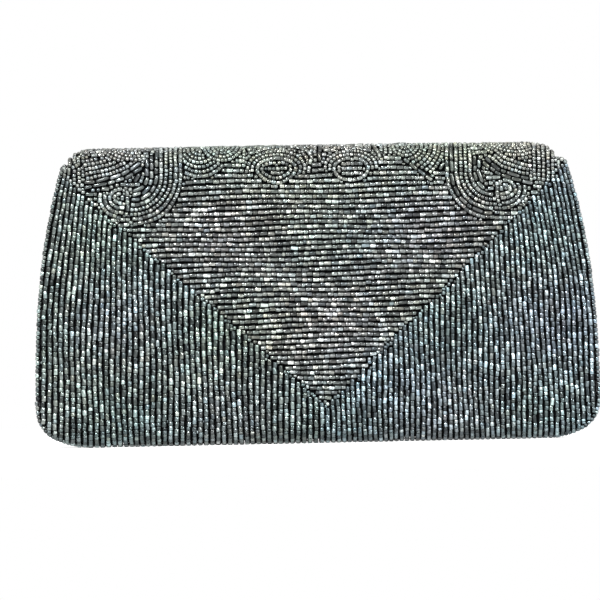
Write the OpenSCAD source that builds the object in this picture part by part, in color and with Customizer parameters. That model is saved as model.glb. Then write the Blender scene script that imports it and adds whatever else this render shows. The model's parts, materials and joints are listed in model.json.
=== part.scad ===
// Beaded evening purse on a hinged metal frame, closed by a kiss lock under a fold-over flap.
// +Z is up and the purse stands on its flat base. The beaded back panel faces -Y, runs up over
// the frame, folds, and hangs down the front as the flap. Each half of the frame is an
// upside-down U of folded channel, and the front half turns on two rivets at its arms' ends.
// Each wall is a slice in depth (Y, Z), cut to an outline seen from the front (X, Z).

/* [Purse body] */
// Overall height
purse_h = 122.5; // [105:0.5:140]
// Width across the base
base_w = 232; // [226:1:250]
// Depth of the base, front to back
base_d = 27.5; // [25.5:0.5:30]
// Width across the shoulders
shoulder_w = 209; // [204:0.5:216]
// Distance from the top of the fold down to the side edge of the shoulders
shoulder_drop = 9.5; // [7:0.5:14]
// Height of the small rounding on each shoulder
shoulder_round = 3.3; // [1:0.1:5]
// Power of the curve that the side edges follow
side_power = 3; // [2:0.1:4]
// Width of the rounding at each bottom corner
corner_w = 20; // [12:1:30]
// Height of the rounding at each bottom corner
corner_h = 16; // [10:1:24]
// Radius where the walls turn under into the base
base_round = 5; // [4.2:0.1:7]

/* [Cloth] */
// Thickness of the beaded cloth
beaded_t = 2.2; // [1.6:0.1:2.3]
// Thickness of the buckram in the walls
buckram_t = 1; // [0.4:0.1:1.1]
// Thickness of the satin lining
lining_t = 0.5; // [0.3:0.05:0.55]
// Thickness of the satin panel on the front half of the frame
satin_t = 1; // [0.6:0.1:1.1]
// Thickness of the side gussets
gusset_t = 1.6; // [1:0.1:2.4]
// Distance from the body's side edge in to the gusset
seam_in = 1; // [0.5:0.1:2]
// Thickness of the board in the base
board_t = 1; // [0.6:0.1:1.6]
// Gap between a gusset and the linings beside it
inside_gap = 0.2; // [0.1:0.05:0.5]

/* [Flap] */
// Width of the flap at the fold over the top
flap_w = 198.5; // [197.5:0.5:202]
// Width of the flap near its lower edge
flap_low_w = 205; // [198:0.5:208]
// Distance from the top of the fold down to the middle of the flap's lower edge
flap_len = 64.5; // [58:0.5:68]
// Rise of the flap's lower edge from its middle to its sides
flap_rise = 5; // [2:0.5:10]
// Radius of the flap's two free corners
flap_corner = 16; // [8:1:24]
// Outer radius of the fold over the top
fold_r = 7.85; // [7.8:0.05:8.4]
// Distance from the frame's middle plane to the fold's middle
fold_y = 0.65; // [0.6:0.05:0.7]
// Width of the rounding at each end of the fold
fold_end_w = 12.3; // [6:0.1:16]
// Height of the rounding at each end of the fold
fold_end_h = 4.9; // [3:0.1:6]
// Thickness of the stiffener in the flap
flap_stiffener_t = 0.6; // [0.3:0.05:0.65]
// Gap between the flap and the front of the purse
flap_gap = 0.3; // [0.2:0.05:0.35]
// Gap between two pieces of cloth that turn against each other
cloth_gap = 0.3; // [0.2:0.05:0.5]
// Margin from the flap's edge in to its stiffener
stiffener_margin = 2; // [1:0.5:5]

/* [Frame] */
// Width across the frame
frame_w = 195; // [180:1:196]
// Distance from the top of the fold down to the top of the frame
frame_drop = 12; // [11.7:0.1:14]
// Depth of the channel, seen from the front
channel_h = 8; // [6:0.5:10]
// Width of the channel, front to back
channel_d = 3.9; // [3.4:0.05:3.95]
// Thickness of the metal
metal_t = 0.7; // [0.5:0.05:0.9]
// Gap between the two halves of the frame
frame_gap = 0.3; // [0.1:0.05:0.4]
// Outer radius of the frame's corners
frame_corner = 10; // [9:0.5:14]
// Radius of the corners inside the frame
frame_corner_in = 2; // [1:0.5:4]
// Diameter of the paper cord pressed into the channel
cord_d = 1.8; // [1.2:0.1:1.9]
// Gap between a paper cord and the channel's rim
cord_gap = 0.05; // [0.02:0.01:0.2]

/* [Frame hinges] */
// Distance from the top of the frame down to the hinge pins
arm_len = 38.5; // [35:0.5:42]
// Diameter of a hinge pin
pin_d = 2.4; // [1.8:0.1:2.8]
// Clearance around a hinge pin, on the radius
pin_clearance = 0.05; // [0.02:0.01:0.1]
// Radius of the round hinge eyes
eye_r = 3.4; // [2.8:0.1:3.6]
// Thickness of a hinge eye
eye_t = 1; // [0.7:0.1:1.3]
// Gap between two hinge eyes, and under a pin head
eye_gap = 0.15; // [0.05:0.05:0.3]
// Gap between an eye and the end of the arm above it
arm_gap = 0.6; // [0.4:0.1:1]
// Length that an eye's neck laps into its arm
neck_lap = 4; // [2:0.5:6]
// Diameter of a pin head
pin_head_d = 4.4; // [3.4:0.1:5]
// Height of a pin head
pin_head_h = 0.8; // [0.5:0.1:1.1]

/* [Kiss lock] */
// Diameter of a lock ball
ball_d = 6; // [5:0.1:6.2]
// Gap between the two balls as they pass each other
ball_gap = 0.3; // [0.2:0.05:0.6]
// Distance that each ball leans over the middle plane
ball_lean = 1; // [0.4:0.1:1]
// Height of the gap between a ball and the frame
ball_lift = 0.6; // [0.4:0.1:0.8]
// Diameter of a ball's post
post_d = 2.2; // [1.6:0.1:2.4]
// Diameter of the round foot under a post
foot_d = 3.4; // [3:0.1:3.6]
// Height of the round foot under a post
foot_h = 0.5; // [0.4:0.1:0.6]
// Distance from the top of a foot up to the middle of its post's lower end
post_rise = 0.37; // [0.3:0.01:0.5]
// Distance from the middle of a foot in to the middle of its post's lower end
post_in = 0.21; // [0:0.01:0.5]

/* [Inside] */
// Width of the slip pocket
pocket_w = 110; // [70:1:130]
// Height of the slip pocket, from its bottom seam to its open edge
pocket_h = 58; // [40:1:64]
// Distance from the top of the fold down to the pocket's open edge
pocket_drop = 38.5; // [30:0.5:50]
// Radius of the pocket's lower corners
pocket_corner = 8; // [4:1:14]
// Thickness of the slip pocket
pocket_t = 0.5; // [0.3:0.1:0.6]
// Height of the soft strip across the front wall at the hinges
strip_h = 8; // [7.5:0.5:10]
// Distance from the hinge pins up to the lower edge of the front's upper panel
panel_rise = 1; // [0.5:0.1:1.5]

/* [Hidden] */

$fn = 64;
bead_grey = [0.38, 0.41, 0.41];
fold_grey = [0.47, 0.5, 0.46];
satin_grey = [0.2, 0.21, 0.22];
board_tan = [0.72, 0.66, 0.55];
cord_tan = [0.8, 0.76, 0.66];
brass = [0.78, 0.63, 0.36];
side_steps = 12;
arc_steps = 8;
reach = 400;

// Distance that a cutting shape runs past what it cuts
over = 1;

// The fold's middle, and the lean of each wall, which touches the fold's circle and the base's
fold_z = purse_h - fold_r;
shoulder_z = purse_h - shoulder_drop;
flap_low_z = purse_h - flap_len;
corner_y = base_d / 2 - base_round;
flap_stack = beaded_t + flap_stiffener_t + lining_t;
stiffener_top = fold_z - 2 * stiffener_margin;
wall_r = fold_r - flap_stack - flap_gap;
rise_z = fold_z - base_round;
back_lean = atan((corner_y + fold_y) / rise_z)
    + asin((base_round - fold_r) / norm([corner_y + fold_y, rise_z]));
front_lean = atan((corner_y - fold_y) / rise_z)
    + asin((base_round - wall_r) / norm([corner_y - fold_y, rise_z]));

// The three creases that the fold turns at, as angles round its middle
fold_start = 180 - back_lean;
fold_turn = fold_start - front_lean;
crease = [for (step = [1 : 2 : 5]) fold_start - fold_turn * step / 6];
slit = asin(cloth_gap / 2 / fold_r);

// Depths in from the outside of a wall
buckram_in = beaded_t;
lining_in = beaded_t + buckram_t;
pocket_in = lining_in + lining_t;
inset_in = seam_in + gusset_t + inside_gap;

// Heights along the front wall, and the frame's places
frame_top = purse_h - frame_drop;
pin_z = frame_top - arm_len;
upper_low_z = pin_z + panel_rise;
strip_low_z = upper_low_z - strip_h;
gusset_top = pin_z - eye_r - arm_gap;
bar_low_z = frame_top - channel_h;
arm_low_z = pin_z + eye_r + arm_gap;
neck_top = arm_low_z + neck_lap;
half_mid = frame_gap / 2 + channel_d / 2;
back_eye_x = frame_w / 2 - eye_t;
front_eye_x = back_eye_x - eye_gap - eye_t;
lock_z = frame_top + ball_lift + ball_d / 2;
lock_x = (ball_d + ball_gap) / 2;
post_low_z = frame_top + foot_h + post_rise;

function reversed(list) = [for (i = [len(list) - 1 : -1 : 0]) list[i]];

// A closed outline from its right edge, mirrored to the left
function both_sides(edge) = concat(edge, [for (p = reversed(edge)) [-p[0], p[1]]]);

// Half the width of the body at a height, narrowing towards the shoulders
function half_w(z) = shoulder_w / 2 + (base_w - shoulder_w) / 2 * (1 - pow(z / shoulder_z, side_power));

// Right edge of the body, from the base to the shoulder, drawn in by inset
function body_edge(inset) = concat(
    [for (i = [0 : arc_steps])
        let (a = 90 * i / arc_steps)
        [base_w / 2 - corner_w + (corner_w - inset) * sin(a), corner_h - (corner_h - inset) * cos(a)]],
    [for (i = [1 : side_steps])
        let (z = corner_h + (shoulder_z - corner_h) * i / side_steps)
        [half_w(z) - inset, z]],
    [for (i = [1 : arc_steps])
        let (a = 90 * i / arc_steps)
        [flap_w / 2 - inset + (shoulder_w - flap_w) / 2 * cos(a),
         shoulder_z + (shoulder_round - inset / 2) * sin(a)]]);

// Rounded end of the fold, seen from the front
function fold_end(inset) = [for (i = [0 : arc_steps])
    let (a = 90 * i / arc_steps)
    [flap_w / 2 - inset - fold_end_w * (1 - cos(a)), purse_h - fold_end_h * (1 - sin(a))]];

// Right edge of the flap: a bowed lower edge, a round corner and the end of the fold
function flap_edge(inset) =
    let (half = flap_low_w / 2 - inset, flat = half - flap_corner, low = flap_low_z + inset,
         corner_z = low + flap_rise * pow(flat / half, 2) + flap_corner)
    concat(
        [for (i = [0 : arc_steps])
            let (x = flat * i / arc_steps)
            [x, low + flap_rise * pow(x / half, 2)]],
        [for (i = [1 : arc_steps])
            let (a = 90 * i / arc_steps)
            [flat + flap_corner * sin(a), corner_z - flap_corner * cos(a)]],
        fold_end(inset));

// Depth position of a sloping surface: the side is -1 at the back and 1 at the front,
// and r is the radius at which the surface meets the fold
function slope_y(side, r, z) =
    let (lean = side < 0 ? back_lean : front_lean)
    fold_y + side * (r / cos(lean) + tan(lean) * (fold_z - z));

// Turn from the base up into a wall, at a depth in from the outside
function turn_under(side, depth) =
    let (lean = side < 0 ? back_lean : front_lean)
    [for (i = [0 : arc_steps])
        let (a = -90 + (90 + lean) * i / arc_steps)
        [side * (corner_y + (base_round - depth) * cos(a)), base_round + (base_round - depth) * sin(a)]];

// Arc round the fold's middle
function fold_arc(r, from, to) = [for (i = [0 : arc_steps])
    let (a = from + (to - from) * i / arc_steps)
    [fold_y + r * cos(a), fold_z + r * sin(a)]];

// Path up the back and into the fold, and path from the fold down the flap
function back_path(depth) = concat(turn_under(-1, depth),
    fold_arc(fold_r - depth, fold_start, crease[0] + slit));
function flap_path(depth) = concat(fold_arc(fold_r - depth, crease[2] - slit, front_lean),
    [[slope_y(1, fold_r - depth, flap_low_z - over), flap_low_z - over]]);

// Layer of cloth between two paths in depth
module between(path_a, path_b) {
    polygon(concat(path_a, reversed(path_b)));
}

// Flat slice of a wall between two radii at the fold, and between two heights
module slope(side, r_out, r_in, z_low, z_high) {
    between([for (z = [z_low, z_high]) [slope_y(side, r_out, z), z]],
        [for (z = [z_low, z_high]) [slope_y(side, r_in, z), z]]);
}

// Slice in depth drawn out along the width, cut by an outline seen from the front
module cut_to(outline) {
    intersection() {
        rotate([90, 0, 90])
            linear_extrude(height = reach, center = true)
                children();
        rotate([90, 0, 0])
            linear_extrude(height = reach, center = true)
                polygon(outline);
    }
}

// Shape seen from the front, drawn out in depth from y_low to y_high
module sheet(y_low, y_high) {
    translate([0, y_high, 0])
        rotate([90, 0, 0])
            linear_extrude(height = y_high - y_low)
                children();
}

// Beaded cloth of the back, from the base up to the first crease of the fold
module back_panel() {
    color(bead_grey)
        cut_to(both_sides(concat(body_edge(0), fold_end(0))))
            between(back_path(0), back_path(beaded_t));
}

module back_buckram() {
    color(board_tan)
        cut_to(both_sides(body_edge(inset_in)))
            slope(-1, fold_r - buckram_in, fold_r - lining_in, base_round + cloth_gap, fold_z - buckram_t);
}

module back_lining() {
    color(satin_grey)
        cut_to(both_sides(body_edge(inset_in)))
            slope(-1, fold_r - lining_in, fold_r - pocket_in, beaded_t + board_t, bar_low_z - cloth_gap);
}

module slip_pocket() {
    pocket_top = purse_h - pocket_drop;
    pocket_z = pocket_top - pocket_h;
    half = pocket_w / 2;
    flat = half - pocket_corner;
    edge = concat([[0, pocket_z]],
        [for (i = [0 : arc_steps])
            let (a = 90 * i / arc_steps)
            [flat + pocket_corner * sin(a), pocket_z + pocket_corner * (1 - cos(a))]],
        [[half, pocket_top]]);
    color(satin_grey)
        cut_to(both_sides(edge))
            slope(-1, fold_r - pocket_in, fold_r - pocket_in - pocket_t, pocket_z - over, pocket_top);
}

// Beaded cloth of the front, from the base up to the soft strip
module front_panel_lower() {
    color(bead_grey)
        cut_to(both_sides(body_edge(0)))
            between(concat(turn_under(1, 0), [[slope_y(1, wall_r, strip_low_z), strip_low_z]]),
                concat(turn_under(1, beaded_t),
                    [[slope_y(1, wall_r - beaded_t, strip_low_z), strip_low_z]]));
}

module front_buckram_lower() {
    color(board_tan)
        cut_to(both_sides(body_edge(inset_in)))
            slope(1, wall_r - buckram_in, wall_r - lining_in,
                base_round + cloth_gap, strip_low_z - cloth_gap);
}

module front_lining_lower() {
    color(satin_grey)
        cut_to(both_sides(body_edge(inset_in)))
            slope(1, wall_r - lining_in, wall_r - pocket_in, beaded_t + board_t, strip_low_z - cloth_gap);
}

// Soft strip of satin that folds as the front half of the frame opens
module front_bend_strip() {
    color(satin_grey)
        cut_to(both_sides(body_edge(0)))
            slope(1, wall_r, wall_r - satin_t, strip_low_z, upper_low_z - cloth_gap);
}

// Side gusset between the two beaded walls, from the base to the hinge of the frame
module gusset(side) {
    edge_out = body_edge(seam_in);
    edge_in = body_edge(seam_in + gusset_t);
    first = arc_steps / 4;
    last = arc_steps + side_steps;
    band = concat([for (i = [first : last]) edge_out[i]], [for (i = [last : -1 : first]) edge_in[i]]);
    section = concat(turn_under(-1, beaded_t),
        [[slope_y(-1, fold_r - beaded_t, gusset_top), gusset_top],
         [slope_y(1, wall_r - beaded_t, min(gusset_top, strip_low_z)), min(gusset_top, strip_low_z)]],
        reversed(turn_under(1, beaded_t)));
    color(satin_grey)
        cut_to([for (p = band) [side * p[0], p[1]]])
            polygon(section);
}

module left_gusset() {
    gusset(-1);
}

module right_gusset() {
    gusset(1);
}

module base_panel() {
    color(bead_grey)
        cut_to(both_sides(body_edge(0)))
            translate([-corner_y, 0])
                square([2 * corner_y, beaded_t]);
}

// Flat layer inside the base, between two heights
module base_layer(half_d, z_low, z_high) {
    half = base_w / 2 - corner_w;
    translate([-half, -half_d, z_low])
        cube([2 * half, 2 * half_d, z_high - z_low]);
}

module base_board() {
    color(board_tan)
        base_layer(corner_y, beaded_t, beaded_t + board_t);
}

module base_lining() {
    color(satin_grey)
        base_layer(base_d / 2 - pocket_in - inside_gap, beaded_t + board_t,
            beaded_t + board_t + lining_t);
}

// Upside-down U seen from the front, with round corners at its top
module round_top(w, z_low, z_high, r) {
    translate([-w / 2, z_low])
        square([w, z_high - r - z_low]);
    translate([r - w / 2, z_low])
        square([w - 2 * r, z_high - z_low]);
    for (side = [-1, 1])
        translate([side * (w / 2 - r), z_high - r])
            circle(r = r);
}

// One half of the frame on its side of the middle plane: a channel open inwards, with a flat
// hinge eye at the end of each arm
module frame_half(side, eye_x) {
    y_mid = side * half_mid;
    slot_d = channel_d - 2 * metal_t;
    difference() {
        union() {
            difference() {
                sheet(y_mid - channel_d / 2, y_mid + channel_d / 2)
                    round_top(frame_w, arm_low_z, frame_top, frame_corner);
                sheet(y_mid - channel_d, y_mid + channel_d)
                    round_top(frame_w - 2 * channel_h, arm_low_z - over, bar_low_z, frame_corner_in);
                sheet(y_mid - slot_d / 2, y_mid + slot_d / 2)
                    round_top(frame_w - 2 * metal_t, arm_low_z - over, frame_top - metal_t,
                        frame_corner - metal_t);
            }
            for (end = [-1, 1])
                translate([end > 0 ? eye_x : -eye_x - eye_t, 0, pin_z])
                    hinge_eye(side);
        }
        for (end = [-1, 1])
            translate([end * frame_w / 2, 0, pin_z])
                rotate([0, 90, 0])
                    cylinder(r = pin_d / 2 + pin_clearance, h = 2 * channel_h, center = true);
    }
}

// Round eye with a neck that runs up into the arm above it
module hinge_eye(side) {
    neck_w = channel_d - metal_t / 2;
    rotate([90, 0, 90])
        linear_extrude(height = eye_t) {
            circle(r = eye_r);
            translate([side > 0 ? frame_gap / 2 : -frame_gap / 2 - neck_w, 0])
                square([neck_w, neck_top - pin_z]);
        }
}

module frame_back() {
    color(brass)
        frame_half(-1, back_eye_x);
}

module frame_front() {
    color(brass)
        frame_half(1, front_eye_x);
}

// Paper cord that lies against the channel's rim, across the bar and down both arms
module paper_cord(side) {
    in = metal_t + cord_gap + cord_d / 2;
    bend_r = frame_corner - in;
    half = frame_w / 2 - in;
    translate([0, side * half_mid, 0]) {
        translate([0, 0, frame_top - in])
            rotate([0, 90, 0])
                cylinder(r = cord_d / 2, h = 2 * (half - bend_r), center = true);
        for (end = [-1, 1]) {
            translate([end * half, 0, neck_top + cord_gap])
                cylinder(r = cord_d / 2, h = frame_top - frame_corner - neck_top - cord_gap);
            translate([end * (half - bend_r), 0, frame_top - frame_corner])
                rotate([90, 0, end > 0 ? 0 : 180])
                    rotate_extrude(angle = 90)
                        translate([bend_r, 0])
                            circle(r = cord_d / 2);
        }
    }
}

module cord_back() {
    color(cord_tan)
        paper_cord(-1);
}

module cord_front() {
    color(cord_tan)
        paper_cord(1);
}

// Lock ball on a post that leans from its own half of the frame over the middle plane
module lock_ball(side) {
    foot = [side * lock_x, side * half_mid, frame_top];
    ball = [side * lock_x, -side * ball_lean, lock_z];
    post_start = [side * lock_x, side * (half_mid - post_in), post_low_z];
    span = ball - post_start;
    color(brass) {
        translate(foot)
            cylinder(d = foot_d, h = foot_h);
        translate(post_start)
            rotate([-atan2(span[1], span[2]), 0, 0])
                cylinder(d = post_d, h = norm(span));
        translate(ball)
            sphere(d = ball_d);
    }
}

module lock_ball_back() {
    lock_ball(-1);
}

module lock_ball_front() {
    lock_ball(1);
}

// Rivet through both eyes of one hinge, with a round head at each end
module hinge_pin(end) {
    x_in = front_eye_x - eye_gap;
    x_out = frame_w / 2 + eye_gap;
    color(brass)
        mirror([end > 0 ? 0 : 1, 0, 0])
            translate([0, 0, pin_z])
                rotate([0, 90, 0]) {
                    translate([0, 0, x_in - pin_head_h])
                        cylinder(d = pin_d, h = x_out - x_in + 2 * pin_head_h);
                    for (z = [x_in - pin_head_h, x_out])
                        translate([0, 0, z])
                            cylinder(d = pin_head_d, h = pin_head_h);
                }
}

module left_hinge_pin() {
    hinge_pin(-1);
}

module right_hinge_pin() {
    hinge_pin(1);
}

// Satin-covered panel that is carried by the front half of the frame
module front_panel_upper() {
    color(satin_grey)
        cut_to(both_sides(body_edge(0)))
            slope(1, wall_r, wall_r - satin_t, upper_low_z, frame_top);
}

module front_lining_upper() {
    half = frame_w / 2 - channel_h - cloth_gap;
    z_high = bar_low_z - cloth_gap;
    color(satin_grey)
        cut_to([[-half, upper_low_z], [half, upper_low_z], [half, z_high], [-half, z_high]])
            slope(1, wall_r - satin_t, wall_r - satin_t - lining_t, upper_low_z, z_high);
}

// One strip of the fold, between two creases and two depths in from its outside
module fold_strip(from, to, depth_out, depth_in) {
    cut_to(both_sides(flap_edge(0)))
        between(fold_arc(fold_r - depth_out, from - slit, to + slit),
            fold_arc(fold_r - depth_in, from - slit, to + slit));
}

module fold_back_cover() {
    color(fold_grey)
        fold_strip(crease[0], crease[1], 0, beaded_t);
}

module fold_back_lining() {
    color(satin_grey)
        fold_strip(crease[0], crease[1], beaded_t, beaded_t + lining_t);
}

module fold_front_cover() {
    color(fold_grey)
        fold_strip(crease[1], crease[2], 0, beaded_t);
}

module fold_front_lining() {
    color(satin_grey)
        fold_strip(crease[1], crease[2], beaded_t, beaded_t + lining_t);
}

// Beaded cloth of the flap, from the last crease of the fold to its lower edge
module flap_cover() {
    color(bead_grey)
        cut_to(both_sides(flap_edge(0)))
            between(flap_path(0), flap_path(beaded_t));
}

module flap_stiffener() {
    color(board_tan)
        cut_to(both_sides(flap_edge(stiffener_margin)))
            slope(1, fold_r - beaded_t, fold_r - beaded_t - flap_stiffener_t,
                flap_low_z, stiffener_top);
}

// Satin behind the flap: it lies on the stiffener, and above that on the beaded cloth
module flap_lining() {
    step_z = stiffener_top + cloth_gap;
    r_top = fold_r - beaded_t;
    r_low = r_top - flap_stiffener_t;
    ends = [for (t = [0, lining_t]) concat(
        fold_arc(r_top - t, crease[2] - slit, front_lean),
        [[slope_y(1, r_top - t, step_z + t), step_z + t],
         [slope_y(1, r_low - t, step_z + t), step_z + t],
         [slope_y(1, r_low - t, flap_low_z - over), flap_low_z - over]])];
    color(satin_grey)
        cut_to(both_sides(flap_edge(0)))
            between(ends[0], ends[1]);
}

back_panel();
back_buckram();
back_lining();
front_panel_lower();
front_buckram_lower();
front_lining_lower();
front_bend_strip();
left_gusset();
right_gusset();
base_panel();
base_board();
base_lining();
slip_pocket();
frame_back();
cord_back();
lock_ball_back();
left_hinge_pin();
right_hinge_pin();
frame_front();
cord_front();
lock_ball_front();
front_panel_upper();
front_lining_upper();
fold_back_cover();
fold_back_lining();
fold_front_cover();
fold_front_lining();
flap_cover();
flap_stiffener();
flap_lining();
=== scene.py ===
import json
import math
import bpy
import numpy as np
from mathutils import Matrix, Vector
from mathutils.kdtree import KDTree


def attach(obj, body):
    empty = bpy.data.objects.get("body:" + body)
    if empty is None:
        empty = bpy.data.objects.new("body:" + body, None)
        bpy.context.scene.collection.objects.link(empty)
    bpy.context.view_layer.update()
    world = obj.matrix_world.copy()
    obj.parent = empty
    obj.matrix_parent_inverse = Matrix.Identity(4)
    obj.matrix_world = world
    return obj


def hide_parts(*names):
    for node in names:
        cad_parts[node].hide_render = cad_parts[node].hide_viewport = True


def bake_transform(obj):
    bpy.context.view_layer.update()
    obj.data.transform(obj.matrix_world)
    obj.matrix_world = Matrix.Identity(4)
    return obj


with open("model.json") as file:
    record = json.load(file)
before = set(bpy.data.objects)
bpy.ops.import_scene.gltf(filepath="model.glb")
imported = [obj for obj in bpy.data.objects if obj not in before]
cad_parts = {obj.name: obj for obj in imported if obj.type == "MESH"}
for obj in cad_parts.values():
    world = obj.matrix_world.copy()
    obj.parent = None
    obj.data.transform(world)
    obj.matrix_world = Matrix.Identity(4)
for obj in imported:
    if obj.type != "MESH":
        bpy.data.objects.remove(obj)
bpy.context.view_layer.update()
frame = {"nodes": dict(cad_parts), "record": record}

# Sizes are in millimetres, the same as the solids'. The photographed back faces -Y.
mm = 0.001
rng = np.random.default_rng(11)
purse = dict(height=122.5, baseWidth=232, baseDepth=27.5, shoulderWidth=209, shoulderZ=113,
             shoulderRound=3.3, sidePower=3, cornerWidth=20, cornerHeight=16, baseRound=5,
             foldRadius=7.85, foldY=0.65, foldEndWidth=12.3, foldEndHeight=4.9, wallRadius=4.25,
             flapWidth=198.5, flapLowWidth=205, flapLowZ=58, flapRise=5, flapCorner=16,
             gussetTop=68, stripLowZ=65, panelLowZ=73, frameTop=110.5)
photo = dict(middle=(-6.61, 58.93), scale=0.41, pixels=600, roll=1.2, distance=2.4, sensor=36, faceY=-11)


def only(first, *others):
    bpy.ops.object.select_all(action="DESELECT")
    for piece in (first, *others):
        piece.select_set(True)
    bpy.context.view_layer.objects.active = first


# The finish goes by the slot, unless another one is named.
def finishPiece(piece, body, slotName, *replaced, finish=None):
    piece.data.materials.clear()
    piece.data.materials.append(finishes[finish or slotFinish[slotName]])
    if body:
        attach(piece, body)
    if replaced:
        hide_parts(*replaced)
    return piece


def coordinates(piece):
    co = np.empty(len(piece.data.vertices) * 3)
    piece.data.vertices.foreach_get("co", co)
    return co.reshape(-1, 3)


# Camera and lights
def makeCamera():
    bpy.ops.object.camera_add()
    camera = bpy.context.object
    camera.name = "photo_camera"
    wide = photo["pixels"] * photo["scale"] * mm
    camera.data.sensor_width = photo["sensor"]
    camera.data.lens = photo["sensor"] * photo["distance"] / wide
    x, z = photo["middle"]
    camera.location = (x * mm, photo["faceY"] * mm - photo["distance"], z * mm)
    camera.rotation_euler = (math.radians(90), math.radians(photo["roll"]), 0)
    bpy.context.scene.camera = camera


# Places and sizes of the lamps are in metres, and their powers in watts
lampAim = (0, 0, 0.06)
lamps = dict(key_light=dict(place=(-0.5, -1.1, 1.0), size=(0.4, 0.3), power=24),
             fill_light=dict(place=(0.9, -0.9, 0.5), size=(0.4, 0.4), power=9),
             back_light=dict(place=(0.2, 1.0, 1.0), size=(1.0, 0.6), power=6))


def makeLight(name, place, size, power):
    bpy.ops.object.light_add(type="AREA", location=place)
    lamp = bpy.context.object
    lamp.name = name
    lamp.data.shape = "RECTANGLE"
    lamp.data.size, lamp.data.size_y = size
    lamp.data.energy = power
    lamp.rotation_euler = Vector(np.subtract(lampAim, place)).to_track_quat("-Z", "Y").to_euler()


# A value from a node's output; a sum or product with it adds a Math node.
class Signal:
    def __init__(self, finish, socket):
        self.finish, self.socket = finish, socket

    def __add__(self, other):
        return self.finish.node("ShaderNodeMath", {0: self, 1: other}, operation="ADD")

    def __mul__(self, other):
        return self.finish.node("ShaderNodeMath", {0: self, 1: other}, operation="MULTIPLY")

    __radd__ = __add__


# A material, or the world, as a tree of nodes.
class Finish:
    def __init__(self, name, forWorld=False):
        self.made = (bpy.data.worlds if forWorld else bpy.data.materials).new(name)
        self.made.use_nodes = True
        self.tree = self.made.node_tree
        self.tree.nodes.clear()
        self.output = self.tree.nodes.new("ShaderNodeOutput" + ("World" if forWorld else "Material"))
        if not forWorld:
            self.place = self.node("ShaderNodeTexCoord", out=3)

    def node(self, kind, sockets=None, out=0, **settings):
        made = self.tree.nodes.new(kind)
        for key, value in settings.items():
            setattr(made, key, value)
        for key, value in (sockets or {}).items():
            if isinstance(value, Signal):
                self.tree.links.new(value.socket, made.inputs[key])
            else:
                made.inputs[key].default_value = value
        return Signal(self, made.outputs[out])

    def mixed(self, factor, *colours):
        first, second = (c if isinstance(c, Signal) else (*c, 1) for c in colours)
        return self.node("ShaderNodeMix", {0: factor, 6: first, 7: second}, out=2, data_type="RGBA")

    def noise(self, scale, detail):
        return self.node("ShaderNodeTexNoise", {"Vector": self.place, "Scale": scale, "Detail": detail})

    def wave(self, direction, scale, distortion):
        return self.node("ShaderNodeTexWave", {"Vector": self.place, "Scale": scale, "Distortion": distortion},
                         bands_direction=direction)

    # Crossing threads
    def weave(self, scale):
        return self.wave("X", scale, 0.4) * 0.5 + self.wave("Z", scale, 0.4) * 0.5

    def bump(self, height, strength, distance):
        return self.node("ShaderNodeBump", {"Height": height, "Strength": strength, "Distance": distance})

    # 1 for the rays that see the background: the camera's, and those that metal and glass send on
    def seeingRays(self):
        ray = self.tree.nodes.new("ShaderNodeLightPath")
        camera, glossy, through = (Signal(self, ray.outputs["Is " + kind + " Ray"])
                                   for kind in ("Camera", "Glossy", "Transmission"))
        return camera + glossy + through

    def show(self, shader):
        self.tree.links.new(shader.socket, self.output.inputs["Surface"])
        return self.made

    def surface(self, sockets):
        return self.show(self.node("ShaderNodeBsdfPrincipled", sockets))

    # Two colours and a relief that follow one pattern
    def patterned(self, pattern, dark, light, strength, distance, roughness, **more):
        return self.surface({"Base Color": self.mixed(pattern, dark, light), "Roughness": roughness,
                             "Normal": self.bump(pattern, strength, distance), **more})


def glassBeads():
    f = Finish("gunmetal_glass_beads")
    # beadTone holds each bead's tone together with painted shade towards the cloth and at its ends
    tone = f.node("ShaderNodeAttribute", attribute_name="beadTone")
    rough = f.node("ShaderNodeAttribute", out=2, attribute_name="beadRough")
    cloudy = f.noise(900.0, 3.0)
    return f.surface({"Base Color": f.mixed(cloudy * 0.5, tone, (0.05, 0.055, 0.06)), "Metallic": 0.92,
                      "Roughness": rough + cloudy * 0.08, "IOR": 1.6, "Specular IOR Level": 0.1,
                      "Coat Weight": 0.08, "Coat Roughness": 0.12, "Normal": f.bump(cloudy, 0.12, 0.0004)})


# Dark backing cloth, darkened further to near black as painted shade for the gaps between the beads
def backingCloth():
    f = Finish("dark_backing_cloth")
    return f.patterned(f.weave(420.0), (0.002, 0.0022, 0.0026), (0.009, 0.01, 0.011), 0.5, 0.0003, 0.9,
                       **{"Specular IOR Level": 0.1})


def satin():
    f = Finish("dark_grey_satin")
    slub, soft, threads = f.noise(160.0, 4.0), f.noise(22.0, 2.0), f.wave("Z", 700.0, 1.5)
    colour = f.mixed(soft, (0.018, 0.019, 0.022), (0.05, 0.052, 0.056))
    colour = f.mixed(threads * 0.35, colour, (0.085, 0.087, 0.092))
    return f.surface({"Base Color": colour, "Roughness": 0.3 + slub * 0.18, "Sheen Weight": 0.5,
                      "Sheen Roughness": 0.4, "Specular IOR Level": 0.6,
                      "Normal": f.bump(threads * 0.4 + slub * 0.6, 0.35, 0.0002)})


def brass():
    f = Finish("polished_brass")
    cloud, scratch = f.noise(60.0, 5.0), f.noise(1500.0, 2.0)
    return f.surface({"Base Color": f.mixed(cloud, (0.62, 0.44, 0.19), (0.8, 0.6, 0.3)), "Metallic": 1.0,
                      "Roughness": 0.16 + cloud * 0.16, "Normal": f.bump(scratch, 0.05, 0.0002)})


def twistedPaper():
    f = Finish("twisted_paper")
    return f.patterned(f.noise(700.0, 4.0), (0.42, 0.35, 0.24), (0.66, 0.58, 0.44), 0.5, 0.0003, 0.9)


def buckram():
    f = Finish("woven_buckram")
    return f.patterned(f.weave(190.0), (0.3, 0.25, 0.17), (0.58, 0.51, 0.39), 0.8, 0.0004, 0.92)


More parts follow.
